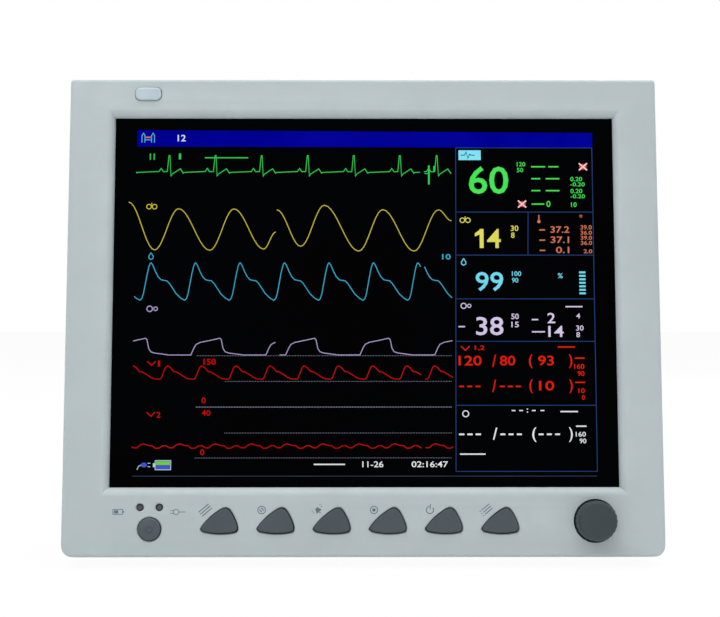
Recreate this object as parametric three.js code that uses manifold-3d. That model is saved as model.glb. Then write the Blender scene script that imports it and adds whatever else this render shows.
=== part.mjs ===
// Bedside patient monitor: leaning front assembly, hollow rear case, recorder, handle and inner units.
// Millimetres. +X to the right of the screen, +Y to the back, +Z up. Front pieces are drawn in the frame
// of the face (y into the object, z up the face) and leaned back together.
import * as THREE from "three";
import { mergeVertices } from "three/addons/utils/BufferGeometryUtils.js";
import Module from "manifold-3d";

const wasm = await Module();
wasm.setup();

// Overall
const FACE_W = 318;
const FACE_H = 257;
const FACE_BOTTOM = 6;
const LEAN = THREE.MathUtils.degToRad(7);
const BEZEL_DEPTH = 32;
const BACK_Y = 138;
const CASE_BOTTOM = 4;
const CASE_TOP = FACE_H - 2;
const CASE_HALF = FACE_W / 2 - 1.5;
const CASE_WALL = 3;
const GAP = 0.3;
// How far a cutting tool reaches, past any face of the object.
const PAST = FACE_W + FACE_H;

// Bezel
const BEZEL_WALL = 2.5;
const FRONT_WALL = 2.8;
const RING_WALL = 4.6;
const WINDOW = { x0: -134.7, x1: 135.8, z0: 36.4, z1: 236.2 };
const ROUND_W = 4.3;
const ROUND_TURN = THREE.MathUtils.degToRad(80);
const ROUND_STEPS = 6;
const EDGE_SOFT = 1.4;
const WINDOW_MARGIN = 2.8;
const WINDOW_THICK = 2;
const LCD = { x: 0.8, z: 135.1, w: 260, h: 203, d: 8 };
const BRACKET = { x: 151, z0: 31, z1: 241, thick: 1.5 };
const BRACKET_BOSSES = [[-146, 40], [146, 40], [-146, 232], [146, 232]];
const SCREW_POSTS = [[-96, 10.5], [96, 10.5], [-96, FACE_H - 9.5], [96, FACE_H - 9.5]];

// Controls
const LAMP = { x: -116.6, z: 248.7, w: 14.2, h: 7.1, proud: 1.2 };
const LEDS = { charge_indicator: -117.7, power_indicator: -107.5 };
const LED_Z = 26;
const LED_R = 1.75;
const POWER = { x: -112.6, z: 14.6, r: 5.95, proud: 0.6 };
const KEY_X = [-75.85, -46.25, -16.65, 12.85, 42.35, 72];
const KEY_Z = 19;
const KEY_W = 18.9;
const KEY_H = 13;
const KEY_SLIT = 0.5;
// The small chamfer round each hole of the controls.
const HOLE_LIP = 0.5;
const KEY_PROUD = 0.9;
const STEM_END = 8.2;
const BOARD_Y = 9.5;
const BOARD_THICK = 1.6;
const KNOB = { x: 122.1, z: 18.8, baseR: 10.7, faceR: 10, proud: 9.6, sunk: 2, holeR: 11.5 };
const SHAFT_R = 3;
const ENCODER_HALF = 6.6;

// Handle
const HANDLE = {
  halfX: 80, arm: 14, y0: 70, y1: 127, z0: CASE_TOP - 18, z1: CASE_TOP - 4, pivotY: 77, pivotZ: CASE_TOP - 11,
};
const HANDLE_WELL = { halfX: 82, y0: 68, y1: 130, floor: CASE_TOP - 27 };
const HANDLE_PIN_R = 3;

// Left connector panel
const PANEL = { y0: 70, y1: 124, z0: 36, z1: 216 };
const PANEL_FACE_X = 1.5 - CASE_HALF;
const PARAMETER_BOARD_X = PANEL_FACE_X + 18.3;
const SOCKETS = {
  ecg_socket: { y: 84, z: 200, r: 9, bore: 7, pins: 6 },
  spo2_socket: { y: 110, z: 200, r: 9, bore: 7, pins: 5 },
  temp_socket_1: { y: 84, z: 170, r: 5.5, bore: 3.2, pins: 0 },
  temp_socket_2: { y: 110, z: 170, r: 5.5, bore: 3.2, pins: 0 },
  ibp_socket_1: { y: 84, z: 140, r: 8, bore: 6.2, pins: 4 },
  ibp_socket_2: { y: 110, z: 140, r: 8, bore: 6.2, pins: 4 },
};
const NIBP = { y: 97, z: 105, r: 9, bore: 3 };
const CO2 = { y: 97, z: 66, w: 24, h: 34 };

// Right recorder
const RECORDER = { x0: CASE_HALF - 57.5, x1: CASE_HALF - 3.3, y0: 58, y1: 122, z0: 56, z1: 152, wall: 2 };
const DOOR_THICK = 3;
const BARREL_R = 1.5;
const HINGE_PIN_R = 0.8;
const ROLL = { x: RECORDER.x1 - 29.2, z: 84, r: 18, core: 6, y0: 65, y1: 115 };
const PLATEN = { x: RECORDER.x1 - 11.2, z: 138, r: 5, shaft: 1.6 };
const LATCH = { y0: 82, y1: 98, z0: 134, z1: 148, travel: 2 };

// Back
const BATTERY_BAY = { x0: -126, x1: -36, z0: 16, z1: 66 };
const BATTERY = { x0: -122, x1: -40, y0: 70, y1: 133.5, z0: 20, z1: 62 };
const INLET = { x: 95, z: 38 };
const FUSE = { x: 60, z: 38, cap: 6.5, body: 5 };
const STUD = { x: 130, z: 38, r: 3 };
const PORT = { x: 78, z: 68, halfX: 8, halfZ: 6.8 };
const PAD = { z: 130, half: 50, proud: 1, hole: 37.5 };
const BASE_PAD = { halfX: 60, y0: 62, y1: 112, proud: 1 };
const SPEAKER = { x: -95, z: 190, r: 25 };
const VENT_X = 95;
const FOOT_SPOTS = [[-118, 50], [118, 50], [-118, 122], [118, 122]];
const FOOT_R = 9;

const COLOURS = {
  bezel: [0xb4c0c3, 0.6],
  bevelled: [0x1a1d20, 0.12],
  lcd: [0x14171a, 0.4],
  metal: [0xa8adb0, 0.35],
  board: [0x1f5a3a, 0.6],
  key: [0x555d62, 0.55],
  knob: [0x444d52, 0.5],
  lamp: [0xd2dde2, 0.35],
  led: [0x535756, 0.3],
  case: [0xaab6ba, 0.65],
  panel: [0x8d989d, 0.55],
  dark: [0x23272a, 0.5],
  paper: [0xf0eee6, 0.9],
  rubber: [0x2a2c2e, 0.9],
  battery: [0x3c4652, 0.5],
  white: [0xe2e4e2, 0.45],
};

// ---------- solids ----------

function solid(geometry) {
  const bare = new THREE.BufferGeometry().setAttribute("position", geometry.getAttribute("position"));
  if (geometry.index) bare.setIndex(geometry.index);
  const merged = mergeVertices(bare, 1e-4);
  const mesh = new wasm.Mesh({
    numProp: 3,
    vertProperties: new Float32Array(merged.attributes.position.array),
    triVerts: new Uint32Array(merged.index.array),
  });
  return new wasm.Manifold(mesh);
}

function block(x0, x1, y0, y1, z0, z1) {
  const box = new THREE.BoxGeometry(x1 - x0, y1 - y0, z1 - z0);
  return solid(box.translate((x0 + x1) / 2, (y0 + y1) / 2, (z0 + z1) / 2));
}

// A cylinder along one axis, from one value to another; a and b are the other two coordinates in order.
function rod(axis, r, from, to, a, b, segments = 24, endR = r) {
  const g = new THREE.CylinderGeometry(endR, r, to - from, segments);
  const middle = (from + to) / 2;
  if (axis === "x") return solid(g.rotateZ(-Math.PI / 2).translate(middle, a, b));
  if (axis === "y") return solid(g.translate(a, middle, b));
  return solid(g.rotateX(Math.PI / 2).translate(a, b, middle));
}

const PLANES = {
  xy: [[1, 0, 0], [0, 1, 0], [0, 0, 1]],
  yz: [[0, 1, 0], [0, 0, 1], [1, 0, 0]],
  xz: [[1, 0, 0], [0, 0, 1], [0, -1, 0]],
};

// A shape drawn in one plane and run along the third axis between two values.
function prism(plane, shape, from, to, bevel = 0, curveSegments = 6, bevelSegments = 2) {
  const options = {
    depth: to - from - 2 * bevel,
    curveSegments,
    bevelEnabled: bevel > 0,
    bevelSize: bevel,
    bevelThickness: bevel,
    bevelOffset: -bevel,
    bevelSegments,
  };
  const g = new THREE.ExtrudeGeometry(shape, options).translate(0, 0, bevel);
  const [a, b, c] = PLANES[plane].map((v) => new THREE.Vector3(...v));
  g.applyMatrix4(new THREE.Matrix4().makeBasis(a, b, c));
  const start = plane === "xz" ? to : from;
  const along = new THREE.Vector3(Math.abs(c.x), Math.abs(c.y), Math.abs(c.z)).multiplyScalar(start);
  return solid(g.translate(along.x, along.y, along.z));
}

// Points given as [u, v, corner radius].
function rounded(points) {
  const shape = new THREE.Shape();
  points.forEach(([u, v, r], i) => {
    const here = new THREE.Vector2(u, v);
    const before = new THREE.Vector2(...points[(i + points.length - 1) % points.length]);
    const after = new THREE.Vector2(...points[(i + 1) % points.length]);
    const start = here.clone().add(before.sub(here).setLength(r));
    const end = here.clone().add(after.sub(here).setLength(r));
    if (i === 0) shape.moveTo(start.x, start.y);
    else shape.lineTo(start.x, start.y);
    if (r > 0) shape.quadraticCurveTo(u, v, end.x, end.y);
  });
  shape.closePath();
  return shape;
}

function rectangle(u0, u1, v0, v1, r = 0) {
  return rounded([[u0, v0, r], [u1, v0, r], [u1, v1, r], [u0, v1, r]]);
}

// A box whose front and back rectangles differ: each is [x0, x1, z0, z1].
function funnel(front, y0, back, y1) {
  const g = new THREE.BoxGeometry(1, 1, 1);
  const p = g.attributes.position;
  for (let i = 0; i < p.count; i += 1) {
    const side = p.getY(i) < 0 ? front : back;
    p.setXYZ(i, side[p.getX(i) < 0 ? 0 : 1], p.getY(i) < 0 ? y0 : y1, side[p.getZ(i) < 0 ? 2 : 3]);
  }
  return solid(g);
}

const joined = (...parts) => parts.reduce((a, b) => a.add(b));
const cut = (body, ...tools) => tools.reduce((a, b) => a.subtract(b), body);

function mesh(name, made, colour, metalness = 0) {
  const m = made.getMesh();
  const geometry = new THREE.BufferGeometry();
  geometry.setAttribute("position", new THREE.BufferAttribute(new Float32Array(m.vertProperties), 3));
  geometry.setIndex(new THREE.BufferAttribute(new Uint32Array(m.triVerts), 1));
  const flat = geometry.toNonIndexed();
  flat.computeVertexNormals();
  const [color, roughness] = COLOURS[colour];
  const node = new THREE.Mesh(flat, new THREE.MeshStandardMaterial({ color, roughness, metalness }));
  node.name = name;
  return node;
}

// ---------- the leaning frame ----------

const leanMatrix = new THREE.Matrix4().makeRotationX(-LEAN).setPosition(0, 0, FACE_BOTTOM);
const leaned = (made) => made.transform(leanMatrix.elements);

// World y where the plane at a given depth behind the face is at height z.
function partingY(z, depth) {
  return (depth + (z - FACE_BOTTOM) * Math.sin(LEAN)) / Math.cos(LEAN);
}

// ---------- front ----------

function keyShape(grow) {
  const sx = 1 + (2 * grow) / KEY_W;
  const sz = 1 + (2 * grow) / KEY_H;
  const at = (u, v) => [u * sx, v * sz];
  const shape = new THREE.Shape();
  shape.moveTo(...at(-8.85, -2.7));
  shape.quadraticCurveTo(...at(-5.5, 1.65), ...at(-1.3, 4.4));
  shape.quadraticCurveTo(...at(1.7, 6.7), ...at(3.6, 6.45));
  shape.quadraticCurveTo(...at(5.4, 6.2), ...at(7.35, 2.3));
  shape.quadraticCurveTo(...at(9.1, -0.9), ...at(9.45, -3.6));
  shape.quadraticCurveTo(...at(9.5, -5.6), ...at(7.5, -5.85));
  shape.quadraticCurveTo(...at(0.4, -7.3), ...at(-7.8, -5.55));
  shape.quadraticCurveTo(...at(-10.6, -4.6), ...at(-8.85, -2.7));
  return shape;
}

function bezel() {
  const half = FACE_W / 2;
  const outline = rounded([[-half, 0, 7], [half, 0, 7], [half, FACE_H, 2], [-half, FACE_H, 2]]);
  const trim = block(-PAST, PAST, BEZEL_DEPTH, PAST, -PAST, PAST);
  let body = cut(prism("xz", outline, 0, BEZEL_DEPTH + 6, EDGE_SOFT), trim);
  const inner = half - BEZEL_WALL;
  body = cut(body, block(-inner, inner, FRONT_WALL, PAST, BEZEL_WALL, FACE_H - BEZEL_WALL));
  const ring = block(-143.5, 144.5, FRONT_WALL - 0.5, RING_WALL, 29, 244.5);
  body = joined(body, ring, ...bezelBosses());
  return cut(body, ...bezelOpenings());
}

function bezelBosses() {
  const bracket = BRACKET_BOSSES.map(([x, z]) => rod("y", 3.5, 2, bracketY() - GAP, x, z, 16));
  const posts = SCREW_POSTS.map(([x, z]) => rod("y", 3.6, 2, BEZEL_DEPTH, x, z, 16));
  const shoulders = [-96, 96].map((x) => rod("y", 3.2, 2, BOARD_Y - GAP, x, 20, 16));
  return [...bracket, ...posts, ...shoulders];
}

function bezelOpenings() {
  const { x0, x1, z0, z1 } = WINDOW;
  const keys = KEY_X.flatMap((x) => [
    placedKey(keyShape(KEY_SLIT), -3, 4, 0, x),
    placedKey(keyShape(KEY_SLIT + HOLE_LIP), -3, HOLE_LIP, HOLE_LIP, x, 1),
  ]);
  return [
    ...windowRound(),
    block(x0, x1, 0, 8, z0, z1),
    prism("xz", pill(GAP), -2, 5, 0, 8),
    ...roundHole(POWER.r + 0.4, POWER.x, POWER.z, 32),
    rod("y", KNOB.holeR, -2, 5, KNOB.x, KNOB.z, 40),
    ...Object.values(LEDS).flatMap((x) => roundHole(LED_R + GAP, x, LED_Z, 16)),
    ...SCREW_POSTS.map(([x, z]) => rod("y", 1.8, BEZEL_DEPTH - 11, BEZEL_DEPTH + 1, x, z, 12)),
    ...keys,
  ];
}

// The rounding round the screen opening: it starts level with the face and ends nearly square to it.
function windowRound() {
  const { x0, x1, z0, z1 } = WINDOW;
  const r = ROUND_W / Math.sin(ROUND_TURN);
  const rect = (w) => [x0 - w, x1 + w, z0 - w, z1 + w];
  const at = (i) => {
    const turn = (ROUND_TURN * i) / ROUND_STEPS;
    return [ROUND_W - r * Math.sin(turn), r * (1 - Math.cos(turn))];
  };
  const steps = Array.from({ length: ROUND_STEPS }, (_, i) => {
    const [w0, y0] = at(i);
    const [w1, y1] = at(i + 1);
    return funnel(rect(w0), y0, rect(w1), y1 + (i === ROUND_STEPS - 1 ? 0 : 0.001));
  });
  return [block(x0 - ROUND_W, x1 + ROUND_W, -2, 0, z0 - ROUND_W, z1 + ROUND_W), ...steps];
}

function pill(grow) {
  const w = LAMP.w / 2 + grow;
  const h = LAMP.h / 2 + grow;
  return rectangle(LAMP.x - w, LAMP.x + w, LAMP.z - h, LAMP.z + h, h * 0.98);
}

function placedKey(shape, from, to, bevel, x, bevelSegments = 2) {
  return prism("xz", shape, from, to, bevel, 5, bevelSegments).translate([x, 0, KEY_Z]);
}

// A round hole in the face with its chamfer.
function roundHole(r, x, z, segments) {
  const lip = HOLE_LIP;
  return [rod("y", r, -2, 5, x, z, segments), rod("y", r + 2 * lip, -lip, lip, x, z, segments, r)];
}

const screenY = () => RING_WALL + GAP;
const lcdY = () => screenY() + WINDOW_THICK + GAP;
const bracketY = () => lcdY() + LCD.d + GAP;

function screenWindow() {
  const m = WINDOW_MARGIN;
  const { x0, x1, z0, z1 } = WINDOW;
  return block(x0 - m, x1 + m, screenY(), screenY() + WINDOW_THICK, z0 - m, z1 + m);
}

function lcdPanel() {
  const { x, z, w, h, d } = LCD;
  const y = lcdY();
  return block(x - w / 2, x + w / 2, y, y + d, z - h / 2, z + h / 2);
}

function lcdBracket() {
  const y = bracketY();
  const { x, z0, z1, thick } = BRACKET;
  const plate = block(-x, x, y, y + thick, z0, z1);
  const windows = [-70, 0, 70].map((c) => block(c - 24, c + 24, y - 1, y + 3, z0 + 18, z0 + 46));
  const lips = [z0, z1 - thick].map((z) => block(-x + 12, x - 12, y, y + 8, z, z + thick));
  const posts = mainBoardCorners().map(([px, pz]) => rod("y", 3, y + 0.5, mainBoardY() - GAP, px, pz, 12));
  return joined(cut(plate, ...windows), ...lips, ...posts);
}

const mainBoardY = () => bracketY() + BRACKET.thick + 7;
const mainBoardCorners = () => [[-94, 86], [94, 86], [-94, 214], [94, 214]];

function mainBoard() {
  const y = mainBoardY();
  const board = block(-100, 100, y, y + BOARD_THICK, 80, 220);
  const chips = [
    block(-40, -8, y + 1, y + 4.5, 130, 162),
    block(20, 44, y + 1, y + 4, 140, 160),
    block(-80, -60, y + 1, y + 7, 96, 128),
    block(60, 90, y + 1, y + 8, 90, 104),
    block(-86, -52, y + 1, y + 4, 180, 206),
    rod("y", 5, y + 1, y + 11, 70, 190, 16),
  ];
  return joined(board, ...chips);
}

function alarmLens() {
  return prism("xz", pill(0), -LAMP.proud, 6, 0.8, 8);
}

function indicator(x) {
  const dome = rod("y", LED_R - 0.7, 0.2, 1, x, LED_Z, 16, LED_R);
  return joined(dome, rod("y", LED_R, 0.9, BOARD_Y - GAP, x, LED_Z, 16));
}

function powerButton() {
  const { x, z, r, proud } = POWER;
  const cap = rod("y", r - 0.6, -proud, 0, x, z, 32, r);
  const body = rod("y", r, -0.01, FRONT_WALL + 1, x, z, 32);
  const flange = rod("y", r + 1.4, FRONT_WALL + GAP, FRONT_WALL + 1.3, x, z, 32);
  return joined(cap, body, flange, rod("y", 2, 3, STEM_END, x, z, 12));
}

function controlKey(x) {
  const cap = placedKey(keyShape(0), -KEY_PROUD, FRONT_WALL + 1, 0.5, x);
  const y = FRONT_WALL + GAP;
  const flange = block(x - 10.6, x + 10.6, y, y + 1, KEY_Z - 7.8, KEY_Z + 7.8);
  return joined(cap, flange, rod("y", 2, y, STEM_END, x, KEY_Z, 12));
}

function keyBoard() {
  const board = block(-134, 138, BOARD_Y, BOARD_Y + BOARD_THICK, 6, 29);
  const holes = SCREW_POSTS.slice(0, 2).map(([x, z]) => rod("y", 4.2, 5, 15, x, z, 16));
  const plug = block(-30, -4, BOARD_Y + 1, BOARD_Y + 7, 9, 16);
  return joined(cut(board, ...holes), plug);
}

function encoderBody() {
  const { x, z } = KNOB;
  const e = ENCODER_HALF;
  const body = block(x - e, x + e, FRONT_WALL + GAP, BOARD_Y - GAP, z - e, z + e);
  return cut(body, rod("y", SHAFT_R + GAP, 0, 12, x, z));
}

function encoderPlunger() {
  return rod("y", SHAFT_R, -KNOB.proud + 2.3, STEM_END, KNOB.x, KNOB.z);
}

function knob() {
  const { baseR, faceR, proud, sunk } = KNOB;
  const profile = [
    [0, -proud], [faceR - 0.7, -proud], [faceR, -proud + 0.6], [baseR, -proud + 3], [baseR, sunk], [0, sunk],
  ];
  const g = new THREE.LatheGeometry(profile.map((p) => new THREE.Vector2(...p)), 96);
  fluted(g, faceR - 0.5, 24, 0.34);
  const drum = solid(g).translate([KNOB.x, 0, KNOB.z]);
  return cut(drum, rod("y", SHAFT_R + GAP, -proud + 2, sunk + 1, KNOB.x, KNOB.z));
}

// Draws the points beyond a radius in and out, a number of times round the y axis.
function fluted(geometry, beyond, times, depth) {
  const p = geometry.attributes.position;
  for (let i = 0; i < p.count; i += 1) {
    const r = Math.hypot(p.getX(i), p.getZ(i));
    if (r <= beyond) continue;
    const angle = Math.atan2(p.getZ(i), p.getX(i));
    const k = 1 - (depth * (1 - Math.cos(times * angle))) / (2 * r);
    p.setX(i, p.getX(i) * k);
    p.setZ(i, p.getZ(i) * k);
  }
}

// ---------- rear case ----------

// The block that the case is cut from, drawn in by a wall on all sides but the front.
function caseBlock(inset, depth) {
  const z0 = CASE_BOTTOM + inset;
  const z1 = CASE_TOP - inset;
  const half = CASE_HALF - inset;
  const back = BACK_Y - inset;
  const soft = (r) => Math.max(r - inset, 1);
  const side = rounded([
    [partingY(z0, depth), z0, 0],
    [back, z0, soft(8)],
    [back, z1, soft(20)],
    [partingY(z1, depth), z1, 0],
  ]);
  const plan = rounded([[-half, 0, 0], [half, 0, 0], [half, back, soft(14)], [-half, back, soft(14)]]);
  const front = rounded([[-half, z0, soft(5)], [half, z0, soft(5)], [half, z1, soft(7)], [-half, z1, soft(7)]]);
  const run = prism("yz", side, -PAST, PAST, 0, 5).intersect(prism("xy", plan, -PAST, PAST, 0, 5));
  return run.intersect(prism("xz", front, -PAST, PAST, 0, 3));
}

function caseBody() {
  const outer = caseBlock(0, BEZEL_DEPTH + GAP);
  const shell = cut(outer, caseBlock(CASE_WALL, BEZEL_DEPTH - 20));
  const inside = joined(...handleWellWalls(), ...screwWellWalls(), ...rearBosses(), ...shelves());
  const filled = joined(shell, inside.intersect(outer), ...mountingPads());
  return cut(filled, ...handleWell(), ...screwWells(), ...sideOpenings(), ...backOpenings(), ...bottomOpenings());
}

function mountingPads() {
  const { half, z, proud } = PAD;
  const b = BASE_PAD;
  return [
    block(-half, half, BACK_Y - 2, BACK_Y + proud, z - half, z + half),
    block(-b.halfX, b.halfX, b.y0, b.y1, CASE_BOTTOM - b.proud, CASE_BOTTOM + 2),
  ];
}

function handleWellWalls() {
  const { halfX, y0, y1, floor } = HANDLE_WELL;
  const w = BEZEL_WALL;
  const cheeks = [-1, 1].map((s) => {
    const ends = [s * halfX, s * (halfX + 12)].sort((a, b) => a - b);
    return rod("x", 7, ...ends, HANDLE.pivotY, HANDLE.pivotZ);
  });
  return [block(-halfX - w, halfX + w, y0 - w, y1 + w, floor - w, PAST), ...cheeks];
}

function handleWell() {
  const { halfX, y0, y1, floor } = HANDLE_WELL;
  const well = block(-halfX, halfX, y0, y1, floor, PAST);
  const { pivotY, pivotZ } = HANDLE;
  const bore = HANDLE_PIN_R + GAP;
  return [
    well,
    rod("x", bore, halfX - 1, halfX + 9, pivotY, pivotZ),
    rod("x", bore, -halfX - 9, -halfX + 1, pivotY, pivotZ),
  ];
}

const wellSpots = () => SCREW_POSTS.map(([x, z]) => ({ x, z, up: z > FACE_H / 2 }));

function screwWellWalls() {
  return wellSpots().map(({ x, z, up }) => {
    const z0 = up ? z - 8 : -PAST;
    const z1 = up ? PAST : z + 8;
    return leaned(block(x - 9.5, x + 9.5, BEZEL_DEPTH + GAP, BEZEL_DEPTH + 22, z0, z1));
  });
}

function screwWells() {
  return wellSpots().flatMap(({ x, z, up }) => {
    const z0 = up ? z - 5.5 : -PAST;
    const z1 = up ? PAST : z + 5.5;
    const seat = BEZEL_DEPTH + 3.3;
    return [
      leaned(block(x - 7, x + 7, seat, BEZEL_DEPTH + 19.5, z0, z1)),
      leaned(rod("y", 1.8, BEZEL_DEPTH - 1, seat + 1, x, z, 12)),
    ];
  });
}

function rearBosses() {
  const { hole, z } = PAD;
  const corners = [[-hole, z - hole], [hole, z - hole], [-hole, z + hole], [hole, z + hole]];
  const pads = corners.map(([x, pz]) => rod("y", 5.5, 128, BACK_Y, x, pz, 16));
  const board = powerBoardCorners().map(([x, y]) => rod("z", 3, CASE_BOTTOM, 11.7, x, y, 12));
  const panel = parameterBosses().map(([y, pz]) => rod("x", 3, PANEL_FACE_X + 1, PARAMETER_BOARD_X - GAP, y, pz, 12));
  return [...pads, ...board, ...panel];
}

const parameterBosses = () => [[70, 38], [122, 38], [70, 212], [122, 212]];
const powerBoardCorners = () => [[26, 70], [132, 70], [26, 104], [132, 104]];

function shelves() {
  const rails = [-116, -48].map((x) => block(x - 1.5, x + 1.5, 70, 132, CASE_BOTTOM, BATTERY.z0 - GAP));
  const pump = block(-130, -94, 80, BACK_Y, 71, 74);
  const { y0, y1, z0, z1 } = PANEL;
  const ledge = block(-CASE_HALF, PANEL_FACE_X + 6, y0 - 4, y1 + 4, z0 - 4, z1 + 4);
  return [...rails, pump, ledge];
}

function sideOpenings() {
  const { y0, y1, z0, z1 } = PANEL;
  const panel = [
    block(-PAST, PANEL_FACE_X + 3.3, y0, y1, z0, z1),
    block(-PAST, PANEL_FACE_X + 7, y0 + 4, y1 - 4, z0 + 4, z1 - 4),
  ];
  const r = RECORDER;
  const axle = doorAxis();
  return [
    ...panel,
    block(r.x1 - 4.2, PAST, r.y0, r.y1, r.z0, r.z1),
    rod("y", HINGE_PIN_R + GAP, r.y0 - 3.5, r.y1 + 3.5, axle.x, axle.z, 12),
    latchSlot(r.z1 - 1, r.z1 + 2.2),
  ];
}

// The slot that the latch's tongue runs in, through the door's edge and into the case.
function latchSlot(z0, z1) {
  return block(CASE_HALF - 2.6, CASE_HALF - 0.6, LATCH.y0 + 2.5, LATCH.y1 - 2.5, z0, z1);
}

function backOpenings() {
  const b = BATTERY_BAY;
  const slots = [-20, -12, -4, 4, 12, 20];
  const grille = slots.map((d) => ventSlot(SPEAKER.x + d, SPEAKER.z, Math.abs(d) > 15 ? 11 : 17));
  const vents = slots.map((d) => ventSlot(VENT_X + d, SPEAKER.z, 17));
  const { hole, z } = PAD;
  const taps = [[-hole, z - hole], [hole, z - hole], [-hole, z + hole], [hole, z + hole]];
  const axle = bayAxis();
  return [
    block(b.x0, b.x1, 134, 150, b.z0, b.z1),
    rod("x", HINGE_PIN_R + GAP, b.x0 - 3.5, b.x1 + 3.5, axle.y, axle.z, 12),
    ...grille,
    ...vents,
    ...taps.map(([x, pz]) => rod("y", 2.2, 130, 150, x, pz, 12)),
    block(INLET.x - 14, INLET.x + 14, 134, 150, INLET.z - 10.3, INLET.z + 10.3),
    rod("y", FUSE.body + GAP, 134, 150, FUSE.x, FUSE.z),
    rod("y", STUD.r + GAP, 134, 150, STUD.x, STUD.z),
    block(PORT.x - PORT.halfX - GAP, PORT.x + PORT.halfX + GAP, 134, 150,
      PORT.z - PORT.halfZ - GAP, PORT.z + PORT.halfZ + GAP),
  ];
}

function ventSlot(x, z, half) {
  return prism("xz", rectangle(x - 1.6, x + 1.6, z - half, z + half, 1.5), 134, 150, 0, 3);
}

function bottomOpenings() {
  return FOOT_SPOTS.map(([x, y]) => rod("z", 2.8, 0, CASE_BOTTOM + CASE_WALL + 1, x, y, 16));
}

// ---------- handle ----------

function handle() {
  const { halfX, arm, y0, y1, z0, z1 } = HANDLE;
  const plan = rounded([
    [-halfX, y0, 0], [-halfX + arm, y0, 0], [-halfX + arm, y1 - 18, 7], [halfX - arm, y1 - 18, 7],
    [halfX - arm, y0, 0], [halfX, y0, 0], [halfX, y1, 16], [-halfX, y1, 16],
  ]);
  const side = rounded([[y0, z0, 6.9], [y1, z0, 4], [y1, z1, 4], [y0, z1, 6.9]]);
  const loop = prism("xy", plan, z0, z1, 1.5, 6).intersect(prism("yz", side, -100, 100, 0, 6));
  const bores = [-1, 1].map((s) => pinRod(s, HANDLE_PIN_R + GAP, halfX - 11, halfX + 2));
  return cut(loop, ...bores);
}

function pinRod(side, r, from, to) {
  const ends = [side * from, side * to].sort((a, b) => a - b);
  return rod("x", r, ...ends, HANDLE.pivotY, HANDLE.pivotZ);
}

const handlePin = (side) => pinRod(side, HANDLE_PIN_R, HANDLE.halfX - 10.5, HANDLE_WELL.halfX + 8.5);

// ---------- left connectors ----------

function connectorPanel() {
  const { y0, y1, z0, z1 } = PANEL;
  const plate = block(PANEL_FACE_X, PANEL_FACE_X + 3, y0 + GAP, y1 - GAP, z0 + GAP, z1 - GAP);
  const holes = Object.values(SOCKETS).map((s) => rod("x", s.r + GAP, -PAST, PANEL_FACE_X + 6, s.y, s.z));
  const co2 = block(-PAST, PANEL_FACE_X + 6, CO2.y - CO2.w / 2 - GAP, CO2.y + CO2.w / 2 + GAP,
    CO2.z - CO2.h / 2 - GAP, CO2.z + CO2.h / 2 + GAP);
  return cut(plate, ...holes, rod("x", NIBP.r + GAP, -PAST, PANEL_FACE_X + 6, NIBP.y, NIBP.z), co2);
}

function roundSocket({ y, z, r, bore, pins }) {
  const tail = PARAMETER_BOARD_X - GAP;
  const body = rod("x", r, PANEL_FACE_X - 1, tail, y, z, 28);
  const flange = rod("x", r + 2, PANEL_FACE_X - 2.5, PANEL_FACE_X - GAP, y, z, 28);
  const hollow = cut(joined(body, flange), rod("x", bore, -PAST, PANEL_FACE_X + 11, y, z, 28));
  const contacts = Array.from({ length: pins }, (_, i) => {
    const a = (i / pins) * 2 * Math.PI;
    return rod("x", 0.6, PANEL_FACE_X + 3, PANEL_FACE_X + 12, y + bore * 0.55 * Math.cos(a), z + bore * 0.55 * Math.sin(a), 6);
  });
  return joined(hollow, ...contacts);
}

function nibpCoupler() {
  const { y, z, r, bore } = NIBP;
  const tail = PARAMETER_BOARD_X - GAP;
  const body = rod("x", r, PANEL_FACE_X - 1, tail, y, z, 28);
  const flange = rod("x", r + 2, PANEL_FACE_X - 2.5, PANEL_FACE_X - GAP, y, z, 28);
  const collar = cut(joined(body, flange), rod("x", r - 1.5, -PAST, PANEL_FACE_X + 8, y, z, 28));
  const tube = rod("x", bore + 1.4, PANEL_FACE_X, PANEL_FACE_X + 9, y, z, 20);
  const nipple = cut(tube, rod("x", bore - 0.6, -PAST, PANEL_FACE_X + 10, y, z, 16));
  return joined(collar, nipple);
}

function co2Port() {
  const { y, z, w, h } = CO2;
  const body = block(PANEL_FACE_X - 1, PARAMETER_BOARD_X - GAP, y - w / 2, y + w / 2, z - h / 2, z + h / 2);
  const rim = block(PANEL_FACE_X - 2.3, PANEL_FACE_X - GAP, y - w / 2 - 2, y + w / 2 + 2,
    z - h / 2 - 2, z + h / 2 + 2);
  const trap = block(-PAST, PANEL_FACE_X + 13, y - 8, y + 8, z - 2, z + 14);
  return cut(joined(body, rim), trap, rod("x", 3, -PAST, PANEL_FACE_X + 13, y, z - 10, 16));
}

function parameterBoard() {
  const x = PARAMETER_BOARD_X;
  const board = block(x, x + BOARD_THICK, 66, 126, 34, 214);
  const shields = [block(x + 1, x + 9, 76, 118, 150, 205), block(x + 1, x + 6, 80, 114, 118, 138)];
  return joined(board, ...shields);
}

// ---------- right recorder ----------

const doorAxis = () => ({ x: CASE_HALF - BARREL_R, z: RECORDER.z0 + BARREL_R + 0.6 });

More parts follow.
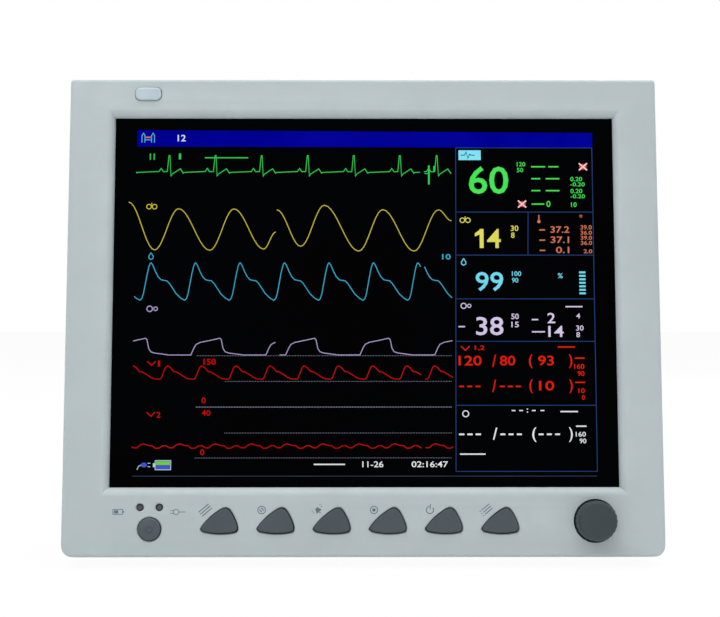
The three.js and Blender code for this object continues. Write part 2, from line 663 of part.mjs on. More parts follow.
function recorderFrame() {
  const { x0, x1, y0, y1, z0, z1, wall } = RECORDER;
  const g = GAP;
  const outer = block(x0, x1 - g, y0 + g, y1 - g, z0 + g, z1 - g);
  const hollow = block(x0 + wall, x1 + 2, y0 + g + wall, y1 - g - wall, z0 + g + wall, z1 - g - wall);
  const shelf = block(x0 + 1, PLATEN.x - PLATEN.r - 8, y0 + 1, y1 - 1, PLATEN.z - 1.5, PLATEN.z + 1.5);
  const stubs = [
    rod("y", ROLL.core - 0.4, y0 + 1, ROLL.y0 + 4, ROLL.x, ROLL.z, 20),
    rod("y", ROLL.core - 0.4, ROLL.y1 - 4, y1 - 1, ROLL.x, ROLL.z, 20),
  ];
  const bearing = rod("y", PLATEN.shaft + GAP, y0 - 1, y1 + 1, PLATEN.x, PLATEN.z, 12);
  return cut(joined(cut(outer, hollow), shelf, ...stubs), bearing);
}

function recorderDoor() {
  const { y0, y1, z1 } = RECORDER;
  const axle = doorAxis();
  const x = CASE_HALF - DOOR_THICK;
  const panel = block(x, CASE_HALF, y0 + 0.6, y1 - 0.6, axle.z, z1 - 0.6);
  const barrel = rod("y", BARREL_R, y0 + 0.6, y1 - 0.6, axle.x, axle.z, 16);
  const l = LATCH;
  return cut(
    joined(panel, barrel),
    rod("y", HINGE_PIN_R + GAP, y0 - 5, y1 + 5, axle.x, axle.z, 12),
    block(x - 4, PAST, l.y0, l.y1, l.z0, l.z1),
    latchSlot(l.z1 - 1, z1 + 1),
    block(x - 4, PAST, ROLL.y0 + 1, ROLL.y1 - 1, PLATEN.z - 14.5, PLATEN.z - 11.5),
  );
}

function recorderDoorPin() {
  const axle = doorAxis();
  return rod("y", HINGE_PIN_R, RECORDER.y0 - 3, RECORDER.y1 + 3, axle.x, axle.z, 12);
}

function recorderLatch() {
  const l = LATCH;
  const g = 0.4;
  const out = CASE_HALF;
  const body = block(out - 2.7, out + 0.3, l.y0 + g, l.y1 - g, l.z0 + l.travel + 0.6, l.z1 - g);
  const ribs = [4.2, 7.2, 10.2].map((d) => block(out, out + 1.1, l.y0 + 2, l.y1 - 2, l.z0 + d, l.z0 + d + 1.2));
  const tongue = block(out - 2.2, out - 1, l.y0 + 3, l.y1 - 3, l.z1 - 1.4, RECORDER.z1 + 1.2);
  return joined(body, ...ribs, tongue);
}

function paperRoll() {
  const { x, z, r, core, y0, y1 } = ROLL;
  return cut(rod("y", r, y0, y1, x, z, 40), rod("y", core, y0 - 1, y1 + 1, x, z, 24));
}

function platenRoller() {
  const { x, z, r, shaft } = PLATEN;
  const { y0, y1 } = RECORDER;
  return joined(rod("y", r, y0 + 6, y1 - 6, x, z), rod("y", shaft, y0 + 0.6, y1 - 0.6, x, z, 12));
}

function printHead() {
  const x = PLATEN.x - PLATEN.r;
  return block(x - 8 + GAP, x - GAP, RECORDER.y0 + 8, RECORDER.y1 - 8, PLATEN.z - 7, PLATEN.z + 7);
}

// ---------- back and inner units ----------

const bayAxis = () => ({ y: BACK_Y - BARREL_R, z: BATTERY_BAY.z0 + BARREL_R + 0.6 });

function batteryDoor() {
  const b = BATTERY_BAY;
  const axle = bayAxis();
  const panel = block(b.x0 + 0.6, b.x1 - 0.6, BACK_Y - DOOR_THICK, BACK_Y, axle.z, b.z1 - 0.6);
  const barrel = rod("x", BARREL_R, b.x0 + 0.6, b.x1 - 0.6, axle.y, axle.z, 16);
  const ribs = [-9, -3, 3, 9].map((d) => block(-81 + d - 1, -81 + d + 1, BACK_Y - 0.5, BACK_Y + 0.8, 52, 60));
  const bore = rod("x", HINGE_PIN_R + GAP, b.x0 - 5, b.x1 + 5, axle.y, axle.z, 12);
  return cut(joined(panel, barrel, ...ribs), bore);
}

function batteryDoorPin() {
  const axle = bayAxis();
  return rod("x", HINGE_PIN_R, BATTERY_BAY.x0 - 3, BATTERY_BAY.x1 + 3, axle.y, axle.z, 12);
}

function batteryPack() {
  const { x0, x1, y0, y1, z0, z1 } = BATTERY;
  const tabs = block(-90, -72, y1 - 0.5, y1 + 0.9, 38, 44);
  return joined(prism("yz", rectangle(y0, y1, z0, z1, 3), x0, x1, 0, 4), tabs);
}

function powerSupplyBoard() {
  const z = 12;
  const board = block(20, 138, 62, 110, z, z + BOARD_THICK);
  const tall = [
    block(34, 62, 70, 96, z + 1, z + 30),
    block(72, 92, 66, 84, z + 1, z + 18),
    rod("z", 8, z + 1, z + 30, 112, 78, 20),
    block(122, 126, 68, 104, z + 1, z + 24),
  ];
  return joined(board, ...tall);
}

function nibpPump() {
  const body = rod("z", 13.5, 74.3, 118, -112, 95, 24);
  const head = rod("z", 11, 117, 130, -112, 95, 24);
  return joined(body, head, rod("z", 2, 129, 137, -108, 95, 12));
}

function speaker() {
  const { x, z, r } = SPEAKER;
  const front = BACK_Y - CASE_WALL - GAP;
  const rim = rod("y", r, front - 3, front, x, z, 32);
  const cone = rod("y", r * 0.62, front - 13, front - 2, x, z, 28, r * 0.9);
  return joined(cut(rim, rod("y", r - 5, front - 1.2, front + 1, x, z, 28)), cone.intersect(
    block(x - 40, x + 40, front - 20, front - 1.2, z - 40, z + 40)), rod("y", 14, front - 24, front - 12, x, z));
}

function acInlet() {
  const { x, z } = INLET;
  const face = BACK_Y + GAP;
  const flange = prism("xz", rectangle(x - 17, x + 17, z - 13, z + 13, 3), face, face + 2.2, 0, 3);
  const body = block(x - 13.7, x + 13.7, BACK_Y - 22, face + 1, z - 10, z + 10);
  const cavity = rounded([
    [x - 12, z - 8, 1], [x + 12, z - 8, 1], [x + 12, z + 4, 1], [x + 8, z + 8, 1], [x - 8, z + 8, 1],
    [x - 12, z + 4, 1],
  ]);
  const hollow = prism("xz", cavity, BACK_Y - 16, face + 4, 0, 2);
  const blades = [[-7, -2], [7, -2], [0, 2.5]].map(([dx, dz]) =>
    block(x + dx - 1, x + dx + 1, BACK_Y - 17, BACK_Y - 2, z + dz - 2, z + dz + 2));
  return joined(cut(joined(flange, body), hollow), ...blades);
}

function fuseHolder() {
  const { x, z, cap, body } = FUSE;
  const barrel = rod("y", body, BACK_Y - 26, BACK_Y + 1, x, z);
  const head = rod("y", cap, BACK_Y + GAP, BACK_Y + 5, x, z);
  return cut(joined(barrel, head), block(x - 4, x + 4, BACK_Y + 3.8, BACK_Y + 6, z - 0.7, z + 0.7));
}

function groundStud() {
  const { x, z, r } = STUD;
  const nut = rod("y", 5.4, BACK_Y + GAP, BACK_Y + 3.6, x, z, 6);
  const washer = rod("y", 5.4, BACK_Y - CASE_WALL - 1.8, BACK_Y - CASE_WALL - GAP, x, z, 20);
  return joined(rod("y", r, BACK_Y - 10, BACK_Y + 7, x, z, 20), nut, washer);
}

function networkPort() {
  const { x, z, halfX, halfZ } = PORT;
  const body = block(x - halfX, x + halfX, BACK_Y - 20, BACK_Y, z - halfZ, z + halfZ);
  const jack = block(x - 6, x + 6, BACK_Y - 13, BACK_Y + 2, z - 5, z + 2.5);
  const key = block(x - 3, x + 3, BACK_Y - 13, BACK_Y + 2, z + 2, z + 4.8);
  return cut(body, jack, key);
}

function foot([x, y]) {
  const pad = rod("z", FOOT_R - 1, 0, 1.2, x, y, 28, FOOT_R);
  const disc = rod("z", FOOT_R, 1.1, CASE_BOTTOM, x, y, 28);
  return joined(pad, disc, rod("z", 2.5, CASE_BOTTOM - 1, CASE_BOTTOM + CASE_WALL, x, y, 16));
}

function caseScrew([x, z]) {
  const seat = BEZEL_DEPTH + 3.3 + GAP;
  const head = rod("y", 3.2, seat, seat + 2.4, x, z, 20);
  const shank = rod("y", 1.4, seat - 14, seat + 0.5, x, z, 12);
  const cross = [block(x - 2, x + 2, seat + 1.2, seat + 3, z - 0.4, z + 0.4),
    block(x - 0.4, x + 0.4, seat + 1.2, seat + 3, z - 2, z + 2)];
  return cut(joined(head, shank), ...cross);
}

// ---------- assembly ----------

function frontGroup() {
  const group = new THREE.Group();
  group.name = "front_assembly";
  group.add(
    mesh("front_bezel", bezel(), "bezel"),
    mesh("screen_window", screenWindow(), "bevelled"),
    mesh("lcd_panel", lcdPanel(), "lcd"),
    mesh("lcd_bracket", lcdBracket(), "metal", 0.8),
    mesh("main_board", mainBoard(), "board"),
    mesh("alarm_lens", alarmLens(), "lamp"),
    mesh("power_button", powerButton(), "key"),
    mesh("key_board", keyBoard(), "board"),
    mesh("encoder_body", encoderBody(), "metal", 0.6),
    mesh("encoder_plunger", encoderPlunger(), "metal", 0.9),
    mesh("knob", knob(), "knob"),
  );
  Object.entries(LEDS).forEach(([name, x]) => group.add(mesh(name, indicator(x), "led")));
  KEY_X.forEach((x, i) => group.add(mesh(`key_${i + 1}`, controlKey(x), "key")));
  SCREW_POSTS.forEach((spot, i) => group.add(mesh(`case_screw_${i + 1}`, caseScrew(spot), "metal", 0.9)));
  group.applyMatrix4(leanMatrix);
  return group;
}

function leftGroup() {
  const group = new THREE.Group();
  group.name = "connector_assembly";
  group.add(
    mesh("connector_panel", connectorPanel(), "panel"),
    mesh("nibp_coupler", nibpCoupler(), "metal", 0.8),
    mesh("co2_port", co2Port(), "dark"),
    mesh("parameter_board", parameterBoard(), "board"),
  );
  Object.entries(SOCKETS).forEach(([name, s]) => group.add(mesh(name, roundSocket(s), "white")));
  return group;
}

function recorderGroup() {
  const group = new THREE.Group();
  group.name = "recorder_assembly";
  group.add(
    mesh("recorder_frame", recorderFrame(), "dark"),
    mesh("recorder_door", recorderDoor(), "case"),
    mesh("recorder_door_pin", recorderDoorPin(), "metal", 0.9),
    mesh("recorder_latch", recorderLatch(), "key"),
    mesh("paper_roll", paperRoll(), "paper"),
    mesh("platen_roller", platenRoller(), "rubber"),
    mesh("print_head", printHead(), "metal", 0.6),
  );
  return group;
}

function backGroup() {
  const group = new THREE.Group();
  group.name = "back_assembly";
  group.add(
    mesh("rear_case", caseBody(), "case"),
    mesh("handle", handle(), "panel"),
    mesh("handle_pin_left", handlePin(-1), "metal", 0.9),
    mesh("handle_pin_right", handlePin(1), "metal", 0.9),
    mesh("battery_pack", batteryPack(), "battery"),
    mesh("battery_door", batteryDoor(), "case"),
    mesh("battery_door_pin", batteryDoorPin(), "metal", 0.9),
    mesh("power_supply_board", powerSupplyBoard(), "board"),
    mesh("nibp_pump", nibpPump(), "metal", 0.7),
    mesh("speaker", speaker(), "dark"),
    mesh("ac_inlet", acInlet(), "dark"),
    mesh("fuse_holder", fuseHolder(), "dark"),
    mesh("ground_stud", groundStud(), "metal", 0.9),
    mesh("network_port", networkPort(), "metal", 0.6),
  );
  FOOT_SPOTS.forEach((spot, i) => group.add(mesh(`foot_${i + 1}`, foot(spot), "rubber")));
  return group;
}

function patientMonitor() {
  const inner = new THREE.Group();
  inner.add(frontGroup(), leftGroup(), recorderGroup(), backGroup());
  inner.updateMatrixWorld(true);
  const box = new THREE.Box3().setFromObject(inner, true);
  inner.position.set(-(box.min.x + box.max.x) / 2, -(box.min.y + box.max.y) / 2, -box.min.z);
  const root = new THREE.Group();
  root.name = "patient_monitor";
  root.add(inner);
  return root;
}

export default patientMonitor();
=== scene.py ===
import math

import bmesh
import bpy
from mathutils import Matrix, Vector


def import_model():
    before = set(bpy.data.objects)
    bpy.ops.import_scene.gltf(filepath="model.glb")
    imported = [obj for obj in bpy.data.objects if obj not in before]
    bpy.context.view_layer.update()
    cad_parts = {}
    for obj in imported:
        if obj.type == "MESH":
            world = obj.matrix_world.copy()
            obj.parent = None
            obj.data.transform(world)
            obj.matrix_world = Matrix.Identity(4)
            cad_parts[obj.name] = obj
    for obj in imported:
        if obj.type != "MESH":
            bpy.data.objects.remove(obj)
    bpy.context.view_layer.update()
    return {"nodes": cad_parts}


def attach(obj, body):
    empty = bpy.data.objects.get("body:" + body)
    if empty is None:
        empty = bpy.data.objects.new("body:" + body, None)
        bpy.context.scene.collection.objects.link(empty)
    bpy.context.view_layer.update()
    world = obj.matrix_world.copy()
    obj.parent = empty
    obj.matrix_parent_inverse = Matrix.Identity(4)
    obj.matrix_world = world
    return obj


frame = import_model()

MM = 0.001
LEAN = math.radians(7)
FACE_ORIGIN = Vector((0, -0.068315, 0.006))
# Face millimetres (across, into the object, up the face) to the row frame.
FACE = Matrix.Translation(FACE_ORIGIN) @ Matrix.Rotation(-LEAN, 4, "X") @ Matrix.Scale(MM, 4)
GLASS_Y = 4.9
# The front and the back of the screen's first lit layer, and of the marks that lie on it.
LIT_LAYER = (GLASS_Y - 0.08, GLASS_Y - 0.02)
TOP_LAYER = (GLASS_Y - 0.14, GLASS_Y - 0.09)

# ---------------------------------------------------------------- materials


def linear(rgb):
    """sRGB 0-255 to linear 0-1, with alpha."""
    out = []
    for value in rgb:
        s = value / 255
        out.append(s / 12.92 if s <= 0.04045 else ((s + 0.055) / 1.055) ** 2.4)
    return (*out, 1.0)


class Nodes:
    """A material's node tree with short ways to add and link nodes."""

    def __init__(self, name):
        self.material = bpy.data.materials.new(name)
        self.material.use_nodes = True
        self.tree = self.material.node_tree
        self.shader = self.tree.nodes["Principled BSDF"]
        self.output = self.tree.nodes["Material Output"]

    def add(self, kind, **settings):
        node = self.tree.nodes.new(kind)
        for key, value in settings.items():
            if hasattr(node, key):
                setattr(node, key, value)
            else:
                node.inputs[key.replace("_", " ")].default_value = value
        return node

    def link(self, start, end):
        self.tree.links.new(start, end)

    def noise(self, scale, detail=2.0, roughness=0.5, stretch=(1, 1, 1)):
        where = self.add("ShaderNodeTexCoord")
        mapping = self.add("ShaderNodeMapping", Scale=stretch)
        self.link(where.outputs["Object"], mapping.inputs["Vector"])
        made = self.add("ShaderNodeTexNoise", Scale=scale, Detail=detail, Roughness=roughness)
        self.link(mapping.outputs["Vector"], made.inputs["Vector"])
        return made.outputs["Fac"]

    def ramp(self, value, stops):
        made = self.add("ShaderNodeValToRGB")
        elements = made.color_ramp.elements
        while len(elements) < len(stops):
            elements.new(0.5)
        for element, (place, colour) in zip(elements, stops):
            element.position = place
            element.color = colour
        self.link(value, made.inputs["Fac"])
        return made.outputs["Color"]

    def spread(self, value, low, high):
        made = self.add("ShaderNodeMapRange")
        made.inputs["To Min"].default_value = low
        made.inputs["To Max"].default_value = high
        self.link(value, made.inputs["Value"])
        return made.outputs["Result"]

    def bump(self, heights):
        """heights is a list of (height output, strength, distance); they add up."""
        last = None
        for height, strength, distance in heights:
            made = self.add("ShaderNodeBump", Strength=strength, Distance=distance)
            self.link(height, made.inputs["Height"])
            if last:
                self.link(last, made.inputs["Normal"])
            last = made.outputs["Normal"]
        self.link(last, self.shader.inputs["Normal"])

    def mix(self, factor, a, b, blend="MIX"):
        made = self.add("ShaderNodeMix", data_type="RGBA", blend_type=blend)
        for socket, value in ((made.inputs[0], factor), (made.inputs[6], a), (made.inputs[7], b)):
            if isinstance(value, (int, float, tuple)):
                socket.default_value = value
            else:
                self.link(value, socket)
        return made.outputs[2]


def shifted(rgb, amount):
    return linear([min(255, max(0, v + amount)) for v in rgb])


def moulded(name, rgb, rough=0.55, grain=1.0, specular=0.4, cloud=3, wear_and_sheen=8, dark_sides=False):
    """Moulded plastic: a spark-eroded grain, faint colour clouds, and edges a little paler in patches,
    partly rubbed wear and partly a painted highlight where light catches them.

    dark_sides blackens the walls that stand square to the monitor's face, where no light reaches.
    """
    n = Nodes(name)
    cloud_colour = n.ramp(n.noise(26, 3), [(0.3, shifted(rgb, -cloud)), (0.7, shifted(rgb, cloud))])
    geometry = n.add("ShaderNodeNewGeometry")
    # Painted highlight: the sharp edges are made paler in patches, standing partly for rubbed wear and
    # partly for light caught on the edges.
    edge = n.ramp(geometry.outputs["Pointiness"], [(0.53, (0, 0, 0, 1)), (0.6, (1, 1, 1, 1))])
    patchy = n.ramp(n.noise(60, 3), [(0.35, (0.2,) * 3 + (1,)), (0.75, (1, 1, 1, 1))])
    rubbed_and_sheen = n.mix(1.0, edge, patchy, "MULTIPLY")
    colour = n.mix(rubbed_and_sheen, cloud_colour, shifted(rgb, wear_and_sheen))
    if dark_sides:
        facing = n.add("ShaderNodeVectorMath", operation="DOT_PRODUCT")
        n.link(geometry.outputs["Normal"], facing.inputs[0])
        facing.inputs[1].default_value = (0, -math.cos(LEAN), math.sin(LEAN))
        wall = n.ramp(facing.outputs["Value"], [(0.3, (1, 1, 1, 1)), (0.55, (0, 0, 0, 1))])
        colour = n.mix(wall, colour, linear((14, 16, 18)))
    n.link(colour, n.shader.inputs["Base Color"])
    fine = n.noise(2600, 2, 0.6)
    n.link(n.spread(fine, rough - 0.06, rough + 0.08), n.shader.inputs["Roughness"])
    n.shader.inputs["Specular IOR Level"].default_value = specular
    n.bump([(fine, 0.18 * grain, 0.00012), (n.noise(700, 2), 0.08 * grain, 0.0002)])
    return n.material


def metal(name, rgb, rough=0.32, stretch=(1, 1, 30)):
    n = Nodes(name)
    brushed = n.noise(900, 3, 0.6, stretch)
    colour = n.ramp(brushed, [(0.3, shifted(rgb, -14)), (0.7, shifted(rgb, 10))])
    n.link(colour, n.shader.inputs["Base Color"])
    n.shader.inputs["Metallic"].default_value = 1.0
    n.link(n.spread(brushed, rough - 0.08, rough + 0.14), n.shader.inputs["Roughness"])
    n.bump([(brushed, 0.12, 0.0001)])
    return n.material


def circuit_board(name):
    """Green solder mask with fine copper tracks under it."""
    n = Nodes(name)
    where = n.add("ShaderNodeTexCoord")
    cells = n.add("ShaderNodeTexBrick", Scale=90.0)
    n.link(where.outputs["Object"], cells.inputs["Vector"])
    cells.inputs["Color1"].default_value = linear((24, 92, 58))
    cells.inputs["Color2"].default_value = linear((20, 78, 50))
    cells.inputs["Mortar"].default_value = linear((58, 128, 84))
    cells.inputs["Mortar Size"].default_value = 0.03
    speck = n.ramp(n.noise(420, 2), [(0.62, (0, 0, 0, 1)), (0.66, (1, 1, 1, 1))])
    n.link(n.mix(speck, cells.outputs["Color"], linear((190, 186, 160))), n.shader.inputs["Base Color"])
    n.shader.inputs["Roughness"].default_value = 0.38
    n.bump([(cells.outputs["Fac"], 0.2, 0.0001)])
    return n.material


def rubber(name, rgb):
    n = Nodes(name)
    fine = n.noise(1500, 4, 0.7)
    n.link(n.ramp(fine, [(0.35, shifted(rgb, -6)), (0.7, shifted(rgb, 8))]), n.shader.inputs["Base Color"])
    n.link(n.spread(fine, 0.75, 0.95), n.shader.inputs["Roughness"])
    n.bump([(fine, 0.3, 0.0002)])
    return n.material


def paper(name):
    n = Nodes(name)
    fibres = n.noise(1800, 5, 0.7, (1, 0.2, 1))
    n.link(n.ramp(fibres, [(0.3, linear((236, 233, 224))), (0.7, linear((246, 245, 240)))]),
           n.shader.inputs["Base Color"])
    n.shader.inputs["Roughness"].default_value = 0.9
    n.bump([(n.noise(5200, 1, 0.5, (1, 0.01, 1)), 0.3, 0.0001)])
    return n.material


def dark_glass(name):
    """The screen's front sheet: black beneath a faint anti-glare surface."""
    n = Nodes(name)
    fine = n.noise(5000, 2)
    n.link(n.ramp(n.noise(9, 2), [(0.3, linear((0, 0, 1))), (0.7, linear((0, 1, 2)))]),
           n.shader.inputs["Base Color"])
    n.link(n.spread(fine, 0.2, 0.3), n.shader.inputs["Roughness"])
    n.shader.inputs["Specular IOR Level"].default_value = 0.012
    n.bump([(fine, 0.04, 0.00005)])
    return n.material


def lens(name, rgb):
    """Frosted translucent plastic."""
    n = Nodes(name)
    soft = n.noise(120, 3)
    n.link(n.ramp(soft, [(0.3, shifted(rgb, -5)), (0.7, shifted(rgb, 5))]), n.shader.inputs["Base Color"])
    n.link(n.spread(n.noise(1400, 2), 0.3, 0.42), n.shader.inputs["Roughness"])
    n.shader.inputs["Subsurface Weight"].default_value = 0.25
    n.shader.inputs["Subsurface Radius"].default_value = (0.002, 0.002, 0.002)
    n.shader.inputs["Subsurface Scale"].default_value = 1.0
    n.bump([(n.noise(1400, 2), 0.1, 0.0001)])
    return n.material


def lit(name, rgb):
    """Lit pixels of the display: the light varies a little over the panel."""
    n = Nodes(name)
    n.shader.inputs["Base Color"].default_value = (0, 0, 0, 1)
    n.shader.inputs["Roughness"].default_value = 0.6
    n.shader.inputs["Specular IOR Level"].default_value = 0.0
    uneven = n.ramp(n.noise(40, 2), [(0.3, shifted(rgb, -9)), (0.7, shifted(rgb, 4))])
    n.link(uneven, n.shader.inputs["Emission Color"])
    n.shader.inputs["Emission Strength"].default_value = 1.0
    return n.material


def ink_and_shadow(name, rgb):
    """Printed ink with thin and thick places; also the painted shadow in the power button's engraved sign.
    """
    n = Nodes(name)
    ink = n.noise(900, 3, 0.6)
    n.link(n.ramp(ink, [(0.3, shifted(rgb, -8)), (0.75, shifted(rgb, 14))]), n.shader.inputs["Base Color"])
    n.shader.inputs["Roughness"].default_value = 0.6
    n.bump([(ink, 0.1, 0.00005)])
    return n.material


MATERIALS = {
    "bezel": moulded("bezel_plastic", (182, 192, 195), 0.55, 1.0, 0.35, 2),
    "case": moulded("case_plastic", (176, 187, 191), 0.6, 1.4, 0.35, 3),
    "grey": moulded("grey_plastic", (128, 138, 143), 0.55, 1.2, 0.35, 3),
    "key": moulded("key_plastic", (74, 82, 88), 0.5, 0.8, 0.25, 3, 16, True),
    "knob": moulded("knob_plastic", (58, 66, 71), 0.5, 1.0, 0.25, 3, 30),
    "black": moulded("black_plastic", (34, 37, 40), 0.5, 1.2, 0.4, 3, 14),
    "white": moulded("socket_plastic", (222, 224, 221), 0.42, 0.6, 0.5, 2),
    "blue": moulded("battery_wrap", (62, 74, 92), 0.45, 0.4, 0.5, 4),
    "steel": metal("steel", (176, 180, 184)),
    "aluminium": metal("print_metal", (168, 172, 178), 0.4, (30, 1, 1)),
    "board": circuit_board("circuit_board"),
    "rubber": rubber("rubber", (38, 39, 41)),
    "paper": paper("paper"),
    "glass": dark_glass("screen_glass"),
    "display": moulded("display_back", (40, 43, 46), 0.4, 0.3, 0.4, 3),
    "lamp": lens("lamp_lens", (184, 198, 207)),
    "led": lens("led_lens", (66, 69, 67)),
}

NODE_MATERIALS = {
    "bezel": ["front_bezel"],
    "glass": ["screen_window"],
    "display": ["lcd_panel"],
    "case": ["rear_case", "recorder_door", "battery_door"],
    "grey": ["handle", "connector_panel"],
    "key": ["power_button", "recorder_latch"] + [f"key_{i}" for i in range(1, 7)],
    "knob": ["knob"],
    "black": ["recorder_frame", "co2_port", "speaker", "ac_inlet", "fuse_holder"],
    "white": ["ecg_socket", "spo2_socket", "temp_socket_1", "temp_socket_2", "ibp_socket_1", "ibp_socket_2"],
    "blue": ["battery_pack"],
    "steel": ["lcd_bracket", "encoder_body", "encoder_plunger", "handle_pin_left", "handle_pin_right",
              "recorder_door_pin", "battery_door_pin", "ground_stud", "network_port", "nibp_coupler"]
             + [f"case_screw_{i}" for i in range(1, 5)],
    "aluminium": ["print_head", "nibp_pump"],
    "board": ["main_board", "key_board", "parameter_board", "power_supply_board"],
    "rubber": ["platen_roller"] + [f"foot_{i}" for i in range(1, 5)],
    "paper": ["paper_roll"],
    "lamp": ["alarm_lens"],
    "led": ["charge_indicator", "power_indicator"],
}

# Degrees above which an edge shades sharp: few on the bezel, whose flat face has to stay even.
USUAL_SHARP_ANGLE = 32
SHARP_ANGLE = {"front_bezel": 5, "rear_case": 20}

# Degrees above which an edge is rounded, and the welding distance in metres.
ROUNDED_ANGLE = 38
WELD_DISTANCE = 0.00001

# Widths of the rounded edges, in millimetres.
SOFT_EDGES = {
    "rear_case": 0.4, "handle": 0.5, "recorder_door": 0.3, "battery_door": 0.3,
    "connector_panel": 0.25, "recorder_latch": 0.25, "knob": 0.25, "co2_port": 0.3, "power_button": 0.2,
}


def dress_nodes():
    for key, names in NODE_MATERIALS.items():
        for name in names:
            node = frame["nodes"][name]
            node.data.materials.clear()
            node.data.materials.append(MATERIALS[key])
            node.data.shade_smooth()
            sharp = SHARP_ANGLE.get(name, USUAL_SHARP_ANGLE)
            node.data.set_sharp_from_angle(angle=math.radians(sharp))
            if name in SOFT_EDGES:
                soften(node, SOFT_EDGES[name])


def soften(node, width):
    weld = node.modifiers.new("weld", "WELD")
    weld.merge_threshold = WELD_DISTANCE
    bevel = node.modifiers.new("soft_edges", "BEVEL")
    bevel.width = width * MM
    bevel.segments = 2
    bevel.limit_method = "ANGLE"
    bevel.angle_limit = math.radians(ROUNDED_ANGLE)
    bevel.use_clamp_overlap = True
    even = node.modifiers.new("even_shading", "WEIGHTED_NORMAL")
    even.weight = 100
    even.keep_sharp = True


# ---------------------------------------------------------------- flat marks on the face


class Marks:
    """Collects thin closed slabs that lie in the plane of the face, and makes one object of them."""

    def __init__(self, name, material, front, back):
        self.name = name
        self.material = material
        self.front = front
        self.back = back
        self.vertices = []
        self.faces = []

    def outline(self, points):
        """A convex outline, given anticlockwise as seen from the front."""
        start = len(self.vertices)
        count = len(points)
        for y in (self.front, self.back):
            self.vertices += [(x, y, z) for x, z in points]
        self.faces.append([start + i for i in range(count)])
        self.faces.append([start + count + i for i in reversed(range(count))])
        for i in range(count):
            j = (i + 1) % count
            self.faces.append([start + j, start + i, start + count + i, start + count + j])

    def block(self, x0, x1, z0, z1):
        self.outline([(x0, z0), (x1, z0), (x1, z1), (x0, z1)])

    def disc(self, x, z, rx, rz=None, count=20):
        rz = rz or rx
        turn = [2 * math.pi * i / count for i in range(count)]
        self.outline([(x + rx * math.cos(a), z + rz * math.sin(a)) for a in turn])

    def line(self, points, width):
        """A line of even width through the points, as one strip."""
        half = width / 2
        sides = []
        for i, (x, z) in enumerate(points):
            before = Vector(points[max(i - 1, 0)])
            after = Vector(points[min(i + 1, len(points) - 1)])
            here = Vector((x, z))
            into = (here - before).normalized() if i else (after - here).normalized()
            out = (after - here).normalized() if i < len(points) - 1 else into
            normal = Vector((-(into.y + out.y), into.x + out.x))
            normal = normal.normalized() if normal.length > 1e-6 else Vector((-into.y, into.x))
            lean = max(abs(normal.dot(Vector((-into.y, into.x)))), 0.45)
            offset = normal * (half / lean)
            sides.append((here + offset, here - offset))
        start = len(self.vertices)
        for left, right in sides:
            self.vertices += [
                (left.x, self.front, left.y), (right.x, self.front, right.y),
                (right.x, self.back, right.y), (left.x, self.back, left.y),
            ]
        for i in range(len(sides) - 1):
            a = start + 4 * i
            b = a + 4
            for j in range(4):
                k = (j + 1) % 4
                self.faces.append([a + j, a + k, b + k, b + j])
        self.faces.append([start + 3, start + 2, start + 1, start])
        end = start + 4 * (len(sides) - 1)
        self.faces.append([end, end + 1, end + 2, end + 3])

    def ring(self, x, z, radius, width, start=0.0, sweep=360.0, count=28):
        angles = [math.radians(start + sweep * i / count) for i in range(count + 1)]
        self.line([(x + radius * math.cos(a), z + radius * math.sin(a)) for a in angles], width)

    def dots(self, x0, x1, z, step=0.85, size=0.34):
        count = int((x1 - x0) / step)
        for i in range(count):
            x = x0 + i * step
            self.block(x, x + size, z - size / 2, z + size / 2)

    def number(self, text, x0, x1, z0, z1):
        """Digits and signs, fitted into a rectangle of the face."""
        curve = bpy.data.curves.new("digits", "FONT")
        curve.body = text
        curve.resolution_u = 3
        curve.extrude = 0.5
        curve.offset = 0.01
        holder = bpy.data.objects.new("digits", curve)
        bpy.context.collection.objects.link(holder)
        depsgraph = bpy.context.evaluated_depsgraph_get()
        mesh = bpy.data.meshes.new_from_object(holder.evaluated_get(depsgraph))
        bm = bmesh.new()
        bm.from_mesh(mesh)
        bmesh.ops.remove_doubles(bm, verts=bm.verts, dist=1e-5)
        bmesh.ops.recalc_face_normals(bm, faces=bm.faces)
        xs = [v.co.x for v in bm.verts]
        ys = [v.co.y for v in bm.verts]
        start = len(self.vertices)
        for v in bm.verts:
            u = (v.co.x - min(xs)) / (max(xs) - min(xs))
            w = (v.co.y - min(ys)) / (max(ys) - min(ys)) if max(ys) > min(ys) else 0.5
            y = self.front if v.co.z > 0 else self.back
            self.vertices.append((x0 + u * (x1 - x0), y, z0 + w * (z1 - z0)))
        bm.verts.index_update()
        self.faces += [[start + v.index for v in f.verts] for f in bm.faces]
        bm.free()
        bpy.data.objects.remove(holder)
        bpy.data.curves.remove(curve)
        bpy.data.meshes.remove(mesh)

    def make(self, body="housing", slot=None):
        mesh = bpy.data.meshes.new(self.name)
        mesh.from_pydata([FACE @ Vector(v) for v in self.vertices], [], self.faces)
        mesh.materials.append(self.material)
        mesh.validate()
        mesh.update()
        made = bpy.data.objects.new(self.name, mesh)
        bpy.context.collection.objects.link(made)
        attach(made, body)
        return made


# ---------------------------------------------------------------- the picture

WAVE_LEFT = -123.2
WAVE_RIGHT = 47.8
SWEEP_END = 30.9
SWEEP_START = 33.1
WAVE_WIDTH = 0.42

